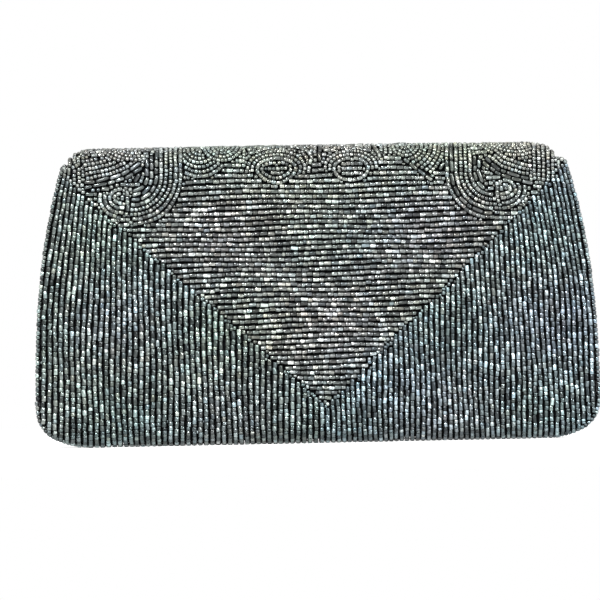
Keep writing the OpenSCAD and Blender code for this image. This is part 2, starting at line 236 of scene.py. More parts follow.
def greyCard():
    f = Finish("grey_card")
    return f.patterned(f.noise(500.0, 5.0), (0.2, 0.18, 0.14), (0.42, 0.37, 0.3), 0.3, 0.0002, 0.95)


def thread():
    f = Finish("grey_sewing_thread")
    return f.patterned(f.noise(2600.0, 2.0), (0.1, 0.1, 0.105), (0.26, 0.26, 0.27), 0.4, 0.0001, 0.65)


# White for the camera, with the object's shadow, and a plain pale floor for every other ray
floorLook = dict(size=6, glow=0.78, fadeStart=0.16, fadeEnd=0.42, white=(1, 1, 1, 1))


def makeFloor():
    bpy.ops.mesh.primitive_plane_add(size=floorLook["size"], location=(0, 0, 0))
    floor = bpy.context.object
    floor.name = "floor"
    f = Finish("pale_floor")
    colour = f.mixed(f.noise(40.0, 2.0), (0.93, 0.93, 0.93), (0.97, 0.97, 0.97))
    matte = f.node("ShaderNodeBsdfDiffuse", {"Color": colour})
    glow, white = (f.node("ShaderNodeEmission", {"Color": floorLook["white"], "Strength": strength})
                   for strength in (floorLook["glow"], 1.0))
    lit = f.node("ShaderNodeAddShader", {0: matte, 1: glow})
    far = f.node("ShaderNodeVectorMath", {0: f.place}, out=1, operation="LENGTH")
    fade = f.node("ShaderNodeMapRange", {"Value": far, "From Min": floorLook["fadeStart"],
                                         "From Max": floorLook["fadeEnd"]}, interpolation_type="SMOOTHSTEP")
    seen = f.node("ShaderNodeMixShader", {0: fade, 1: lit, 2: white})
    floor.data.materials.append(f.show(f.node("ShaderNodeMixShader", {0: f.seeingRays(), 1: matte, 2: seen})))


def makeWorld():
    f = Finish("studio", forWorld=True)
    dim = f.node("ShaderNodeBackground", {"Color": (0.96, 0.98, 1, 1), "Strength": 0.2})
    white = f.node("ShaderNodeBackground", {"Color": (1, 1, 1, 1), "Strength": 1.0})
    bpy.context.scene.world = f.show(f.node("ShaderNodeMixShader", {0: f.seeingRays(), 1: dim, 2: white}))


# The purse's surface. w is measured along the cloth: it is the height on the back, and goes on over the
# fold and down the flap.
baseHalf, shoulderHalf, neckHalf = (purse[key] / 2 for key in ("baseWidth", "shoulderWidth", "flapWidth"))
flapLowHalf = purse["flapLowWidth"] / 2
baseRound, foldRadius, foldY = purse["baseRound"], purse["foldRadius"], purse["foldY"]
foldZ = purse["height"] - foldRadius
turnY = purse["baseDepth"] / 2 - baseRound
rise = foldZ - baseRound


def leanOf(side, radius):
    reach = turnY - side * foldY
    return math.atan(reach / rise) + math.asin((baseRound - radius) / math.hypot(reach, rise))


backLean = leanOf(-1, foldRadius)
frontLean = leanOf(1, purse["wallRadius"])
foldStart = math.pi - backLean
foldTurn = foldStart - frontLean
wallLow = baseRound * (1 + math.sin(backLean))
wallHigh = foldZ + foldRadius * math.sin(foldStart)
foldEnd = wallHigh + foldTurn * foldRadius
crest = wallHigh + (foldStart - math.pi / 2) * foldRadius
overCrest = crest + 2
flapHigh = foldZ + foldRadius * math.sin(frontLean)
underEnd = wallLow - baseRound * (math.pi / 2 + backLean)
baseEnd = underEnd - 2 * turnY


def smoothStep(t):
    t = np.clip(t, 0, 1)
    return t * t * (3 - 2 * t)


# Half the body's width at a height.
def bodyHalf(z):
    z = np.asarray(z, float)
    shoulderZ, corner = purse["shoulderZ"], purse["cornerHeight"]
    side = shoulderHalf + (baseHalf - shoulderHalf) * (
        1 - (np.clip(z, 0, shoulderZ) / shoulderZ) ** purse["sidePower"])
    low = baseHalf - purse["cornerWidth"] + purse["cornerWidth"] * np.sqrt(
        np.clip(1 - ((corner - np.clip(z, 0, None)) / corner) ** 2, 0, 1))
    up = np.clip((z - shoulderZ) / purse["shoulderRound"], 0, 1)
    neck = neckHalf + (shoulderHalf - neckHalf) * np.sqrt(1 - up ** 2)
    return np.where(z > shoulderZ, neck, np.where(z < corner, low, side))


def flapHalf(z):
    top, low = purse["height"] - purse["foldEndHeight"], purse["flapLowZ"] + purse["flapCorner"] + 4
    t = np.clip((top - np.asarray(z, float)) / (top - low), 0, 1)
    return (purse["flapWidth"] + (purse["flapLowWidth"] - purse["flapWidth"]) * t) / 2


# Height of the flap's bowed lower edge.
def flapLow(x):
    corner = purse["flapCorner"]
    flat = flapLowHalf - corner
    x = np.abs(np.asarray(x, float))
    bow = purse["flapLowZ"] + purse["flapRise"] * (np.minimum(x, flat) / flapLowHalf) ** 2
    over = np.clip((x - flat) / corner, 0, 1)
    return bow + corner * (1 - np.sqrt(1 - over ** 2))


# Half the width of the cloth at w.
def halfAt(w):
    w = np.asarray(w, float)
    z = outer(w)[1]
    return np.where(w < wallHigh, bodyHalf(z), flapHalf(z))


# Depth and height of the outer surface at w, and the outward direction there.
def outer(w):
    w = np.asarray(w, float)
    under = np.clip(backLean - (wallLow - w) / baseRound, -math.pi / 2, backLean)
    over = np.clip(foldStart - (w - wallHigh) / foldRadius, frontLean, foldStart)
    down = w - foldEnd
    stretch = [w < underEnd, w < wallLow, w < wallHigh, w < foldEnd]
    y = np.select(stretch, [-turnY + (underEnd - w), -(turnY + baseRound * np.cos(under)),
                            foldY - (foldRadius / math.cos(backLean) + math.tan(backLean) * (foldZ - w)),
                            foldY + foldRadius * np.cos(over)],
                  foldY + foldRadius * math.cos(frontLean) + down * math.sin(frontLean))
    z = np.select(stretch, [0 * w, baseRound + baseRound * np.sin(under), w, foldZ + foldRadius * np.sin(over)],
                  flapHigh - down * math.cos(frontLean))
    ny = np.select(stretch, [0 * w, -np.cos(under), 0 * w - math.cos(backLean), np.cos(over)],
                   math.cos(frontLean))
    nz = np.select(stretch, [0 * w - 1, np.sin(under), 0 * w + math.sin(backLean), np.sin(over)],
                   math.sin(frontLean))
    return y, z, ny, nz


# The same for the front wall under the flap; w is its height.
def frontWall(w):
    w = np.asarray(w, float)
    low = baseRound * (1 + math.sin(frontLean))
    under = np.clip(frontLean - (low - w) / baseRound, -math.pi / 2, frontLean)
    wallY = foldY + purse["wallRadius"] / math.cos(frontLean) + math.tan(frontLean) * (foldZ - w)
    y = np.where(w < low, turnY + baseRound * np.cos(under), wallY)
    z = np.where(w < low, baseRound + baseRound * np.sin(under), w)
    ny = np.where(w < low, np.cos(under), math.cos(frontLean))
    nz = np.where(w < low, np.sin(under), math.sin(frontLean))
    return y, z, ny, nz


def frontHalf(w):
    return bodyHalf(frontWall(w)[1])


# How far the rounded ends of the fold lie below its middle.
def foldDroop(x, z):
    over = np.clip((np.abs(x) - (neckHalf - purse["foldEndWidth"])) / purse["foldEndWidth"], 0, 1)
    drop = purse["foldEndHeight"] * (1 - np.sqrt(1 - over ** 2))
    return drop * np.clip((z - foldZ) / foldRadius, 0, 1) ** 1.5


cloth = dict(edgeRound=3.2, beadDepth=0.85, depth=2.0, thick=0.35, puff=0.5, edgeInset=0.95)
# As in the photo, the crest stands higher towards its left end, and the fold bulges there a little
raised = dict(middle=0.45, tilt=0.0045, startZ=96, overZ=26)
bulge = dict(out=1.7, startZ=113.5, overZ=3.5, startX=70, overX=28)


# Points of the cloth at width x and place w, at a depth under its outside.
def onSurface(x, w, depth, wall=outer, half=None):
    x, w = np.asarray(x, float), np.asarray(w, float)
    y, z, ny, nz = wall(w)
    half = halfAt(w) if half is None else half
    edge = cloth["edgeRound"]
    near = np.clip(edge - (half - np.abs(x)), 0, edge)
    roll = edge - np.sqrt(np.clip(edge ** 2 - near ** 2, 0, None))
    wave = cloth["puff"] * (np.sin(x * 0.041 + 1.3) * np.sin(w * 0.06 + 0.4) * 0.5
                            + np.sin(x * 0.11 + w * 0.07) * 0.2 + np.sin(x * 0.23 - w * 0.19 + 2) * 0.12)
    inset = depth + roll * 0.8 - wave * 0.4
    lift = (raised["middle"] - raised["tilt"] * x) * smoothStep((z - raised["startZ"]) / raised["overZ"])
    out = (bulge["out"] * smoothStep((z - bulge["startZ"]) / bulge["overZ"])
           * smoothStep((-x - bulge["startX"]) / bulge["overX"]))
    return np.stack([x - out, y - ny * inset, z - nz * inset - foldDroop(x, z) + lift], -1)


# Bead rows, drawn in the plane of x and w
band = dict(apex=(3.6, 15.7), leftSlope=0.894, rightSlope=0.969, rowPitch=2.12, straight=50, shoulder=99.6,
            edge=0.95)
kinds = dict(cut=dict(code=0, length=2.2, width=1.96, bright=1.0, spread=0.24),
             small=dict(code=1, length=1.5, width=1.78, bright=1.05, spread=0.08),
             bugle=dict(code=2, length=4.0, width=1.8, bright=0.6, spread=0.25),
             plain=dict(code=3, length=1.9, width=1.95, bright=0.95, spread=0.16),
             column=dict(code=4, length=2.2, width=2.1, bright=0.95, spread=0.24),
             filler=dict(code=5, bright=0.8),
             edge=dict(code=6, length=1.7, width=1.85, bright=0.9, spread=0.12))
smoothKinds = [kinds[name]["code"] for name in ("small", "bugle", "filler", "edge")]
stringing = dict(slack=0.05, jitter=0.04, footHeight=9, footShare=0.7, closest=0.76, closestInRow=0.45)
filling = dict(grid=0.45, room=0.42, gap=1.25, halfWidth=115)
# Half the width of the flat base: as far as its beads go, and where the edging leaves it out
baseEdge = dict(beads=95.2, edging=93.6)
edgeColumn = baseHalf - band["edge"]
cellSize = 2.0

# The scrolls at the two ends of the band: hooks, a fan of rows, shallow arcs above it, upright stacks
# and a shell. An area is the polygon that such a family keeps to.
ends = dict(
    left=dict(
        sign=-1, centre=(-74.0, 111.0), start=-98, stop=0, step=1.97,
        hooks="bugle bugle bugle plain small small plain plain",
        hookArea=[(-75.6, 106), (-76.4, 97), (-74.6, 90), (-40, 90), (-40, overCrest),
                  (-63.6, overCrest), (-64.6, 121.6), (-70.4, 115.6)],
        fan=[(-98.4, 106.6), (-92, 106.8), (-84, 108.2), (-77, 110.2), (-70.2, 114.2)],
        fanArea=[(-94.2, 104), (-94.2, 120), (-89.5, 119.6), (-80, 116.4), (-71, 116.6),
                       (-68.6, 114), (-75.4, 108.4), (-86, 105.4)],
        shallow=((-72.5, 131.5), 15.6, 186, 282),
        shallowArea=[(-94.2, 120), (-89.5, 119.6), (-80, 116.4), (-70.6, 115.6), (-64.4, 121.8),
                    (-63.4, overCrest), (-94.2, overCrest)],
        stacks=[(-98.3, 107.4), (-96.3, 108.0)],
        shell=(-78.8, 102.2), flat=-78.6, turn=(90, 270), outside=(160, 266)),
    right=dict(
        sign=1, centre=(73.8, 110.0), start=284, stop=180, step=1.9,
        hooks="bugle bugle plain small small plain bugle plain",
        hookArea=[(73.4, 105.5), (75.6, 97), (73.8, 90), (40, 90), (40, overCrest),
                  (64.0, overCrest), (64.4, 120.6), (69.2, 115.2)],
        fan=[(69.4, 114.6), (75, 109.4), (83, 106.4), (90, 104.6), (98, 103.2)],
        fanArea=[(89.6, 102.6), (89.6, 113), (82, 115), (76.5, 119), (69.6, 116.4),
                  (68.6, 114), (74, 108), (84, 104.6)],
        shallow=((83.5, 132.5), 17.4, 205, 300),
        shallowArea=[(89.6, 112.6), (82, 115), (76.5, 119), (69.4, 115.4), (64.6, 120.6),
                     (64.0, overCrest), (89.6, overCrest)],
        stacks=[(98.3, 105), (96.4, 105.2), (94.5, 105.4), (92.6, 105.8), (90.7, 106.2)],
        shell=(77.4, 102.8), flat=77.2, turn=(90, -90), outside=(14, -86)))
shellSize = dict(rim=(5.2, 3.8), inner=(3.3, 1.9), rings=(1.95, 3.9), post=1.95)
eyes = [dict(centre=(-15.2, 112.6), size=(8.0, 4.6), low=5.4, point=1.35, ring=True, levels=(0.2,),
             kind="small"),
        dict(centre=(15.4, 112.3), size=(7.0, 4.4), low=4.6, point=1.0, ring=False, levels=(1.9, 0, -1.9),
             kind="plain")]


# Place along a wall, from its height, for a wall that leans by this much.
def lowTurn(z, lean):
    low = baseRound * (1 + math.sin(lean))
    turn = lean - np.arcsin(np.clip((z - baseRound) / baseRound, -1, 1))
    return np.where(z > low, z, low - baseRound * turn)


def mirroredLine(right):
    return np.concatenate([right, right[::-1] * (-1, 1)])


# Outline of a wall in x and w, from the top right down, along the base and up to the top left.
def wallOutline(lean, neck):
    corner = purse["cornerHeight"]
    side = np.linspace(purse["shoulderZ"], corner, 60)
    a = np.linspace(0, math.pi / 2, 25)[1:]
    shoulder = purse["shoulderZ"] + purse["shoulderRound"] * np.sin(np.linspace(math.pi / 2, 0, 9))[:-1]
    x = np.concatenate([bodyHalf(shoulder), bodyHalf(side), baseHalf - purse["cornerWidth"] * (1 - np.cos(a))])
    z = np.concatenate([shoulder, side, corner * (1 - np.sin(a))])
    right = np.stack([x, lowTurn(z, lean)], -1)
    if neck:
        top = np.linspace(overCrest, right[0, 1], 12)[:-1]
        right = np.concatenate([np.stack([0 * top + neckHalf, top], -1), right])
    return mirroredLine(right)


def flapOutline():
    corner = purse["flapCorner"]
    flat = flapLowHalf - corner
    z = np.linspace(flapHigh, float(flapLow(flapLowHalf)), 30)
    low = np.concatenate([flat + corner * np.cos(np.linspace(0, math.pi / 2, 20))[1:],
                          np.linspace(flat, 0, 40)[1:]])
    x, z = np.concatenate([flapHalf(z), low]), np.concatenate([z, flapLow(low)])
    return mirroredLine(np.stack([x, foldEnd + (flapHigh - z) / math.cos(frontLean)], -1))


# Directions along a line and to its left.
def directions(line):
    ahead = np.gradient(line, axis=0)
    ahead /= np.linalg.norm(ahead, axis=1)[:, None]
    return ahead, np.stack([-ahead[:, 1], ahead[:, 0]], -1)


# A line that runs inside an outline, at this distance from it.
def insideLine(outline, inset):
    steps = np.hypot(*np.diff(outline, axis=0).T)
    outline = outline[np.concatenate([[True], steps > 0.01])]
    down = 1 if outline[0, 1] > outline[len(outline) // 2, 1] else -1
    return outline - down * directions(outline)[1] * inset


def mitre(x):
    ax, aw = band["apex"]
    return aw + np.where(x < ax, band["leftSlope"] * (ax - x), band["rightSlope"] * (x - ax))


# A row through a few points, rounded off between them.
def curveRow(*points):
    points = np.array(points, float)
    t = np.linspace(0, len(points) - 1, 12 * len(points))
    row = np.stack([np.interp(t, range(len(points)), points[:, k]) for k in (0, 1)], -1)
    for _ in range(30):
        row[1:-1] = row[1:-1] * 0.5 + (row[:-2] + row[2:]) * 0.25
    return row


# Rows beside a first one, each the pitch further to its left.
def besideRows(row, pitch, count):
    return [row + directions(row)[1] * pitch * k for k in range(count)]


def straightRow(*points):
    return np.array(points, float)


def circleRow(centre, radius, start, stop):
    t = np.radians(np.linspace(start, stop, max(8, int(abs(stop - start) * radius / 25))))
    return np.stack([centre[0] + radius * np.cos(t), centre[1] + radius * np.sin(t)], -1)


# An arc from below that goes straight on up to the crest.
def hookRow(centre, radius, start, stop):
    arc = circleRow(centre, radius, start, stop)
    return np.concatenate([arc, [[arc[-1][0], crest + 1]]])


# An oval whose lower half may be lower and end in a point.
def ovalRow(centre, wide, high, start, stop, low=None, point=1.0):
    t = np.radians(np.linspace(start, stop, 120))
    x, w = np.cos(t), np.sin(t)
    w = np.where(w < 0, -np.abs(w) ** point * (low or high), w * high)
    return np.stack([centre[0] + wide * x, centre[1] + w], -1)


# Where a column of the base's lower edge at x stands at w: the outer ones follow the side.
def columnX(x, w):
    inside = baseHalf - bodyHalf(np.clip(w, purse["cornerHeight"] + 2, 112))
    share = np.clip((np.abs(x) - band["straight"]) / (edgeColumn - band["straight"]), 0, 1) ** 1.3
    return x - np.sign(x) * share * inside


def levelRow(w):
    x = np.linspace(-112, 112, 150)
    return np.stack([x, w + 0.35 * np.sin(x * 0.09 + w * 0.16) + 0.07 * np.sin(x * 0.37 + w * 2.1)], -1)


# A test for places on the left of a line through two points.
def leftOf(a, b):
    def test(x, w):
        return (b[0] - a[0]) * (w - a[1]) - (b[1] - a[1]) * (x - a[0]) > 0
    return test


# A test for places inside a polygon.
def within(corners):
    corners = [tuple(corner) for corner in corners]

    def test(x, w):
        found = np.zeros(np.shape(x), bool)
        for (ax, aw), (bx, bw) in zip(corners, corners[1:] + corners[:1]):
            crossing = (aw > w) != (bw > w)
            found ^= crossing & (x < (bx - ax) * (w - aw) / ((bw - aw) or 1e-9) + ax)
        return found
    return test


# Hooks, fan, stacks, arcs and shell at one end of the band.
def endFamilies(own):
    centre, start, stop, flat = own["centre"], own["start"], own["stop"], own["flat"]
    area, fanArea = within(own["hookArea"]), within(own["fanArea"])
    fan = besideRows(curveRow(*own["fan"]), 1.78, 9)
    (x, w), post = own["shell"], flat - own["sign"] * shellSize["post"]
    (wide, tall), inner = shellSize["rim"], shellSize["inner"]
    families = [([hookRow(centre, 5.6 + own["step"] * k, start, stop)], kind, area)
                for k, kind in enumerate(own["hooks"].split())]
    return families + [
        ([circleRow(centre, radius, start, stop) for radius in (3.7, 1.8)], "bugle", area),
        (fan[:2], "bugle", fanArea),
        ([straightRow((at, low), (at, overCrest)) for at, low in own["stacks"]], "small", None),
        (fan[2:], "small", fanArea),
        (besideRows(circleRow(*own["shallow"]), 1.75, 9), "small", within(own["shallowArea"])),
        ([ovalRow((x, w), wide, tall, *own["turn"])], "plain", None),
        ([ovalRow((x, w), *inner, *own["turn"]), straightRow((flat, w - 1), (flat, w + 1.2))], "plain", None),
        ([ovalRow((x, w), wide + d, tall + d, *own["outside"]) for d in shellSize["rings"]], "plain",
         lambda x, w: w > mitre(x)),
        ([straightRow((post, w + 3.2), (post, w - 5.4))], "plain", None)]


# An eye: its rim, what fills it, and two arcs over it.
def eyeFamilies(own):
    (x, w), (wide, tall), low, point = own["centre"], own["size"], own["low"], own["point"]
    inside = [ovalRow((x, w), wide - 2.0, tall - 1.9, 90, 450, low - 2.0, point)] if own["ring"] else []
    inside += [straightRow((x - 4.2, w + d), (x + 4.4, w + d)) for d in own["levels"]]
    arcs = [([ovalRow((x, w), wide + 1.85 * k, tall + 1.8 * k, 196 - 6 * k, -16 + 6 * k)], "small", None)
            for k in (1, 2)]
    return [([ovalRow((x, w), wide, tall, 90, 450, low, point)], "plain", None),
            (inside, own["kind"], None)] + arcs


# Half-discs, eyes and a leaf between the two ends of the band.
def middleFamilies():
    top = crest + 1
    small, disc, leaf = (-37.2, 124.4), (-46.7, 122.6), (37.9, 122.6)
    low, high = (47.6, 107.8), (36.9, 115.9)
    inLeaf = leftOf(high, low)
    vine = curveRow((-1.6, 114.2), (-0.4, 117), (-1.4, 119.6), (-4.8, 122.4), (-11, 124.3), (-19, 123.4),
                    (-24, 119.8), (-25, 116.8))
    return [
        ([circleRow(small, r, 165, 375) for r in (7.8, 6.0, 4.2, 2.4)], "small", lambda x, w: w > 115.4),
        ([circleRow(disc, 12.4, 170, 372)], "plain", None),
        ([circleRow(disc, r, 165, 372) for r in (10.5, 8.6, 6.7, 4.8, 2.9, 1.1)], "small", None),
        ([straightRow(high, low)], "bugle", None),
        ([circleRow(leaf, 17.8, -57, 5)], "bugle", inLeaf),
        ([circleRow(leaf, r, -75, 60) for r in (15.9, 14.1, 12.3, 10.5, 8.7, 6.9)], "small", inLeaf),
        ([circleRow(leaf, r, -200, 60) for r in (5.1, 3.4, 1.6)], "small", None),
        *eyeFamilies(eyes[0]), *eyeFamilies(eyes[1]),
        ([curveRow((7.3, 110.2), (4.4, 112.6), (2.6, 115.6), (2.5, 118.6), (3.2, top))], "bugle", None),
        ([curveRow((24.9, 112.4), (27.2, 115.6), (27.3, 118.6), (25.4, 121), (24.4, top))], "plain", None),
        ([vine], "plain", None),
        ([curveRow((4.6, top), (8, 122.4), (14, 121.4), (20, 122.2), (23.4, top))], "small", None),
        ([straightRow((x, 118), (x, top)) for x in (29.7, 31.8, -28.4, -30.6)], "small", None),
        ([straightRow((0.8, 117.4), (0.8, top))], "small", None)]


# Every family of rows: the rows, the kind of bead, and a test for where it may lie. A column also has
# its place at the foot and the distance to the next one.
def bandFamilies():
    ax, aw = band["apex"]
    pitch = band["rowPitch"]

    def insideV(x, w):
        return (w > mitre(x) - 0.2) & (np.abs(x) < band["shoulder"])

    def outsideV(x, w):
        return (w < mitre(x) + 0.5) | (np.abs(x) > band["shoulder"])

    columns = []
    for side, slope in ((-1, band["leftSlope"]), (1, band["rightSlope"])):
        count = round((edgeColumn - side * ax) * slope / pitch)
        step = (edgeColumn - side * ax) / count
        for k in range(0 if side < 0 else 1, count + 1):
            foot = ax + side * k * step
            w = np.linspace(min(aw + k * pitch + 6, 117.5), baseEnd, 90)
            sway = (0.3 * np.sin(w * 0.11 + foot * 0.13) + 0.08 * np.sin(w * 0.5 + foot * 1.7)) * (k < count)
            columns.append((np.stack([columnX(foot, w) + sway, w], -1), foot, step))
    levels = [levelRow(w) for w in np.arange(aw + 1.0, crest + pitch, pitch)]
    scrolls = endFamilies(ends["left"]) + endFamilies(ends["right"]) + middleFamilies()
    return scrolls + [(levels, "cut", insideV), (columns, "column", outsideV)]


# Beads strung along one row: middle, direction and length of each. They may be shorter near the foot.
def walkRow(row, kind, footShare=1.0):
    length = kind["length"]
    run = np.concatenate([[0], np.cumsum(np.hypot(*np.diff(row, axis=0).T))])
    found = []
    s = rng.uniform(0, 0.5)
    while True:
        size = float(np.clip(rng.normal(length, length * kind["spread"]), length * 0.6, length * 1.6))
        if footShare < 1 and np.interp(s, run, row[:, 1]) < stringing["footHeight"]:
            size *= footShare
        middle = s + size / 2
        if middle > run[-1] + 0.2:
            return np.array(found or np.zeros((0, 5)))
        x, w = (np.interp([middle - 0.3, middle, middle + 0.3], run, row[:, k]) for k in (0, 1))
        n = math.hypot(x[2] - x[0], w[2] - w[0]) or 1
        found.append((x[1], w[1], (x[2] - x[0]) / n, (w[2] - w[0]) / n, size))
        s += size + stringing["slack"] + abs(rng.normal(0, stringing["jitter"]))


# Small beads along an outline's edge, in the pattern's form. The flat base has none.
def edgeBeads(outline):
    kind = kinds["edge"]
    got = walkRow(insideLine(outline, cloth["edgeInset"]), kind)
    got = np.concatenate([got, np.tile([kind["width"], kind["code"], kind["bright"]], (len(got), 1))], 1)
    return got[(got[:, 1] > 1) | (np.abs(got[:, 0]) > baseEdge["edging"])]


# A test for places inside an outline, at this distance from the beads on its edge.
def clearOf(outline, gap):
    return within(insideLine(outline, cloth["edgeInset"] + gap))


# Points along the middle of a bead, for the distance to its neighbours.
def spineOf(x, w, dx, dw, size, width):
    reach = max(0.0, size / 2 - width * 0.42)
    steps = (-1, 0, 1) if size < 3 else (-1, -0.5, 0, 0.5, 1)
    return [(x + k * reach * dx, w + k * reach * dw) for k in steps]


# A store of places in square cells, and what the nine cells around a place hold.
def keepAt(cells, x, w, *more):
    cells.setdefault((int(x // cellSize), int(w // cellSize)), []).append((x, w, *more))


def heldNear(cells, x, w):
    i, j = int(x // cellSize), int(w // cellSize)
    return [held for di in (-1, 0, 1) for dj in (-1, 0, 1) for held in cells.get((i + di, j + dj), ())]


# Small beads for the holes that the rows leave where they meet.
def fillHoles(beads, lowest, highest):
    spines = [(px, pw, bead[5], bead[2], bead[3]) for bead in beads for px, pw in spineOf(*bead[:6])]
    tree = KDTree(len(spines))
    for number, spine in enumerate(spines):
        tree.insert((spine[0], spine[1], 0), number)
    tree.balance()
    found = []
    for x in np.arange(-filling["halfWidth"], filling["halfWidth"], filling["grid"]):
        for w in np.arange(lowest, highest, filling["grid"]):
            room = min(math.hypot(x - spines[n][0], w - spines[n][1]) - spines[n][2] / 2
                       for _, n, _ in tree.find_n((x, w, 0), 3))
            if room > filling["room"]:
                n = tree.find((x, w, 0))[1]
                found.append((room, x, w, spines[n][3], spines[n][4]))
    placed, extra = {}, []
    for room, x, w, dx, dw in sorted(found, reverse=True):
        if all(math.hypot(x - qx, w - qw) > filling["gap"] for qx, qw in heldNear(placed, x, w)):
            size = float(np.clip(2 * room + 0.35, 1.2, 1.75))
            extra.append((x, w, dx, dw, size * 0.92, size, kinds["filler"]["code"], kinds["filler"]["bright"]))
            keepAt(placed, x, w)
    return extra


# Whether a bead keeps clear of those that are there. Beads of one row may come closer.
def hasRoom(spine, width, own, taken):
    for px, pw in spine:
        for qx, qw, other, wide in heldNear(taken, px, pw):
            near = (width + wide) / 2 * stringing["closestInRow" if other == own else "closest"]
            if (px - qx) ** 2 + (pw - qw) ** 2 < near * near:
                return False
    return True


# Beads of the whole pattern: x, w, direction, length, width, kind and brightness.
def patternBeads():
    beads, taken = [], {}
    for number, (rows, kindName, test) in enumerate(bandFamilies()):
        kind = kinds[kindName]
        for rowNumber, row in enumerate(rows):
            foot = None
            if kindName == "column":
                row, foot, step = row
            got = walkRow(row, kind, 1.0 if foot is None else stringing["footShare"])
            keep = got[:, 1] < overCrest
            if test:
                for k in (-0.3, 0.3):
                    keep &= test(got[:, 0] + k * got[:, 2] * got[:, 4], got[:, 1] + k * got[:, 3] * got[:, 4])
            own = (number, rowNumber)
            for x, w, dx, dw, size in got[keep]:
                width = kind["width"]
                if foot is not None:
                    width = 0.9 * step * float(columnX(foot + 0.5, w) - columnX(foot - 0.5, w))
                spine = spineOf(x, w, dx, dw, size, width)
                if hasRoom(spine, width, own, taken):
                    beads.append((x, w, dx, dw, size, width, kind["code"], kind["bright"]))
                    for px, pw in spine:
                        keepAt(taken, px, pw, own, width)
    return np.array(beads + fillHoles(beads, baseEnd, crest + 0.6))


# One bead on the X axis, one unit long and thick: a short tube with bevelled ends. Its points and faces.
def beadShape(sides, chamfer):
    bpy.ops.mesh.primitive_cylinder_add(vertices=sides, radius=0.5, depth=1, rotation=(0, math.pi / 2, 0))
    bead = bpy.context.object
    bpy.ops.object.transform_apply(location=True, rotation=True, scale=True)
    bpy.ops.object.mode_set(mode="EDIT")
    bpy.ops.mesh.select_all(action="DESELECT")
    bpy.ops.object.mode_set(mode="OBJECT")
    for edge in bead.data.edges:
        a, b = (bead.data.vertices[i].co for i in edge.vertices)
        edge.select = abs(a.x - b.x) < 0.01
    bpy.ops.object.mode_set(mode="EDIT")
    bpy.ops.mesh.select_mode(type="EDGE")
    bpy.ops.mesh.bevel(offset=chamfer, segments=1)
    bpy.ops.object.mode_set(mode="OBJECT")
    points, faces = coordinates(bead), [list(face.vertices) for face in bead.data.polygons]
    bpy.data.objects.remove(bead)
    return points, faces


# Copies of one bead at many places, as one mesh.
def stampBeads(name, shape, middles, alongs, ups, lengths, widths, tones, roughs):
    points, faces = shape
    n, m = len(middles), len(points)
    alongs = alongs / np.linalg.norm(alongs, axis=1)[:, None]
    sides = np.cross(ups, alongs)
    sides /= np.linalg.norm(sides, axis=1)[:, None]
    ups = np.cross(alongs, sides)
    turn = math.radians(30) + rng.normal(0, 0.3, n)
    c, s = np.cos(turn)[:, None], np.sin(turn)[:, None]
    u, v = sides * c + ups * s, ups * c - sides * s
    co = (middles[:, None] + points[None, :, 0, None] * lengths[:, None, None] * alongs[:, None]
          + points[None, :, 1, None] * widths[:, None, None] * u[:, None]
          + points[None, :, 2, None] * widths[:, None, None] * v[:, None]) * mm
    loops = (np.concatenate(faces)[None] + m * np.arange(n)[:, None]).ravel()
    starts = np.concatenate([[0], np.cumsum(np.tile([len(face) for face in faces], n))[:-1]])
    mesh = bpy.data.meshes.new(name)
    mesh.vertices.add(n * m)
    mesh.loops.add(len(loops))
    mesh.polygons.add(n * len(faces))
    mesh.vertices.foreach_set("co", co.reshape(-1))
    mesh.loops.foreach_set("vertex_index", loops)
    mesh.polygons.foreach_set("loop_start", starts)
    mesh.update(calc_edges=True)
    # painted shade: each bead is darkened on its side towards the cloth and at its ends, standing in for the
    # shade in the gaps between the beads
    height = points[None, :, 1] * s + points[None, :, 2] * c
    shade = 0.01 + 0.99 * smoothStep((height + 0.02) / 0.44)
    shade *= np.where(np.abs(points[None, :, 0]) > 0.49, 0.3, 1.0)
    colour = np.concatenate([tones[:, None] * shade[:, :, None], np.ones((n, m, 1))], 2)
    mesh.attributes.new("beadTone", "FLOAT_COLOR", "POINT").data.foreach_set("color", colour.ravel())
    mesh.attributes.new("beadRough", "FLOAT", "POINT").data.foreach_set("value", np.repeat(roughs, m))
    piece = bpy.data.objects.new(name, mesh)
    bpy.context.collection.objects.link(piece)
    return piece


glass = dict(dark=0.03, bright=0.95, middle=0.235, spread=0.6, roughLow=0.12, roughHigh=0.4)
laying = dict(loose=0.09, firmBelow=6, depthSpread=0.05, tilt=0.06, thin=0.94, thick=1.04, probe=0.4)


# Colour of each bead: mostly gunmetal grey, a few dark and a few pale, with a slight cast.
def beadTones(n, lift, hue, even):
    level = rng.lognormal(math.log(glass["middle"]), glass["spread"] * even, n)
    level = np.clip(level, glass["dark"], glass["bright"]) * lift
    cast = rng.normal(0, 0.03, (n, 1)) * np.array([1, 0, -1]) + rng.normal(0, 0.012, (n, 3))
    return np.clip(level[:, None] * (np.array(hue) + cast), 0.01, 0.95)


# Slow changes of colour and brightness over the cloth, and painted shade that darkens its foot, where the cloth
# turns down away from the light above.
def tintAt(x, w):
    green = np.sin(x * 0.071 + 1.1) * np.sin(w * 0.083 + 0.6)
    blue = np.sin(x * 0.047 - w * 0.061 + 2.3) * np.sin(w * 0.05 + x * 0.021)
    patch = 1 + 0.09 * np.sin(x * 0.12 + w * 0.05) * np.sin(w * 0.17 - x * 0.03 + 1)
    # painted shade: darker towards the foot, where the cloth turns away from the light above
    foot = (0.62 + 0.38 * smoothStep((w + 3) / 11)) * (0.84 + 0.16 * smoothStep((w - 2) / 26))
    tint = np.stack([1 - 0.035 * green - 0.02 * blue, 1 + 0.03 * green, 1 - 0.02 * green + 0.05 * blue], -1)
    return tint * (patch * foot)[:, None]


